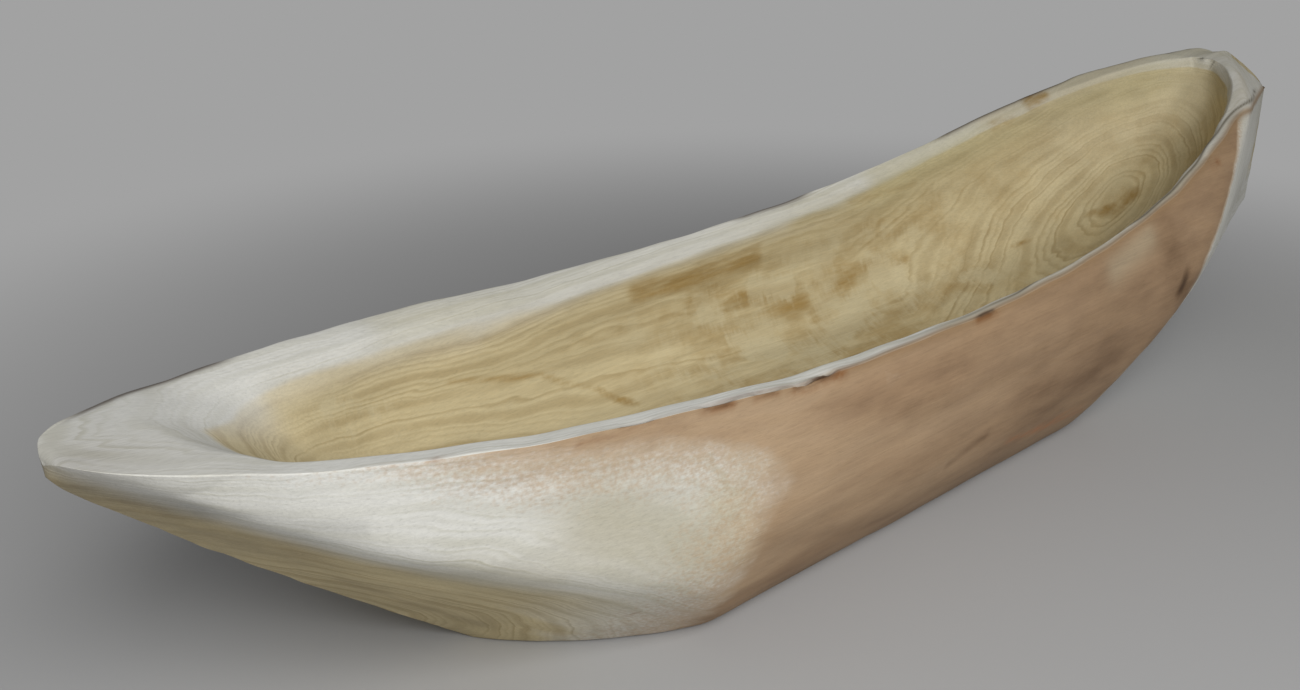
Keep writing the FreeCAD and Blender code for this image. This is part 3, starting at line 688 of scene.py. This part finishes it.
    # brightness: slow tone, fibres and pores
    tone = add("MapRange", {"Value": noise["tone"], 1: 0.3, 2: 0.7, 3: 0.94, 4: 1.05})
    band = add("MapRange", {"Value": noise["band"], 1: 0.3, 2: 0.7, 3: -0.08, 4: 0.08})
    tone = add("Math", {0: band, 1: heart, 2: tone}, operation="MULTIPLY_ADD")
    fibre = add("MapRange", {"Value": noise["fibre"], 1: 0.3, 2: 0.7, 3: 0.93, 4: 1.05})
    pore = add("MapRange", {"Value": noise["pore"], 1: 0.30, 2: 0.45, 3: 0.90, 4: 1.0})
    shade = add("Math", {0: tone, 1: fibre}, operation="MULTIPLY")
    shade = add("Math", {0: shade, 1: pore}, operation="MULTIPLY")
    colour = add("VectorMath", {0: colour, "Scale": shade}, operation="SCALE")
    # relief in mm: fibres, pores, raised late wood, knife chatter, and in the hollow strokes across the grain
    noise["late"] = late
    noise["cross"] = add("Math", {0: noise["cross"], 1: field["inside"]}, operation="MULTIPLY")
    relief = 0.0
    for name, heightMm in w["relief"].items():
        relief = add("Math", {0: noise[name], 1: heightMm, 2: relief}, operation="MULTIPLY_ADD")
    bump = add("Bump", {"Strength": w["bump"], "Distance": mm, "Height": relief})
    shader = add("BsdfPrincipled", {"Base Color": colour, "Normal": bump, "Roughness": w["roughness"],
                                    "IOR": w["ior"], "Specular IOR Level": w["specular"]})
    add("OutputMaterial", {"Surface": shader}, output=None)
    return material


mesh.materials.append(bareWood(wood))
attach(carvedBoat, "root")
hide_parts("boat_body")
print("wood done")

# floor, light and camera, in metres
room = {
    "floor": "#b0b0b0", "floorRoughness": 0.8, "floorSpecular": 0.15, "floorReach": 14.0, "floorDrop": 0.0002,
    "background": "#a2a2a2",
    "fadeStart": 0.16, "fadeEnd": 0.44,     # from the boat's middle, over which the floor turns into the background
    "keyWatts": 5.2, "keySize": 0.45, "keyPlace": (-0.33, -0.56, 0.50),
    "worldStrength": 0.16, "aim": (-0.12, 0.0, 0.04),
}


def buildRoom(r):
    # a flat pale sheet under the boat; further away the camera sees a plain colour
    reach, drop = r["floorReach"], r["floorDrop"]
    corners = [(x * reach, y * reach, -drop) for x, y in ((-1, -1), (1, -1), (1, 1), (-1, 1))]
    sheet = bpy.data.meshes.new("paleFloor")
    sheet.from_pydata(corners, [], [(0, 1, 2, 3)])
    floor = bpy.data.objects.new("paleFloor", sheet)
    bpy.context.scene.collection.objects.link(floor)
    paint = bpy.data.materials.new("mattPalePaint")   # flat paint, so that the shadow shows and nothing mirrors
    paint.use_nodes = True
    tree = paint.node_tree
    tree.nodes.clear()
    matt = addNode(tree, "BsdfPrincipled", {"Base Color": linearColour(r["floor"]), "Roughness": r["floorRoughness"],
                                            "Specular IOR Level": r["floorSpecular"]})
    place = addNode(tree, "TexCoord", output="Object")
    away = addNode(tree, "VectorMath", {0: place}, output="Value", operation="LENGTH")
    share = addNode(tree, "MapRange", {"Value": away, 1: r["fadeStart"], 2: r["fadeEnd"]}, **smooth)
    seen = addNode(tree, "LightPath", output="Is Camera Ray")
    share = addNode(tree, "Math", {0: share, 1: seen}, operation="MULTIPLY")
    plain = addNode(tree, "Emission", {"Color": linearColour(r["background"]), "Strength": 1.0})
    mixed = addNode(tree, "MixShader", {0: share, 1: matt, 2: plain})
    addNode(tree, "OutputMaterial", {"Surface": mixed}, output=None)
    sheet.materials.append(paint)
    world = bpy.data.worlds.new("softRoom")
    bpy.context.scene.world = world
    world.use_nodes = True
    tree = world.node_tree
    tree.nodes.clear()
    seen = addNode(tree, "LightPath", output="Is Camera Ray")
    lit = addNode(tree, "Background", {"Color": (1.0, 1.0, 1.0, 1.0), "Strength": r["worldStrength"]})
    plain = addNode(tree, "Background", {"Color": linearColour(r["background"]), "Strength": 1.0})
    mixed = addNode(tree, "MixShader", {0: seen, 1: lit, 2: plain})
    addNode(tree, "OutputWorld", {"Surface": mixed}, output=None)
    lamp = bpy.data.lights.new("softKey", "AREA")
    lamp.energy = r["keyWatts"]
    lamp.size = r["keySize"]
    holder = bpy.data.objects.new("softKey", lamp)
    holder.location = r["keyPlace"]
    holder.rotation_mode = "QUATERNION"
    holder.rotation_quaternion = (Vector(r["aim"]) - Vector(r["keyPlace"])).to_track_quat("-Z", "Y")
    bpy.context.scene.collection.objects.link(holder)


camera = {"place": (-0.3272, -0.2436, 0.19407), "turn": 43.43, "pitch": 22.0, "lens": 38.77, "sensor": 36.0}


def buildCamera(c):
    # turned about the upright from looking along +y, then tipped down
    lens = bpy.data.cameras.new("photoView")
    lens.lens = c["lens"]
    lens.sensor_width = c["sensor"]
    lens.sensor_fit = "HORIZONTAL"
    lens.clip_start = 0.01
    holder = bpy.data.objects.new("photoView", lens)
    holder.location = c["place"]
    holder.rotation_euler = (math.radians(90 - c["pitch"]), 0, -math.radians(c["turn"]))
    bpy.context.scene.collection.objects.link(holder)
    bpy.context.scene.camera = holder


buildRoom(room)
buildCamera(camera)
bpy.context.scene.view_settings.view_transform = "Standard"
print("room and camera done")
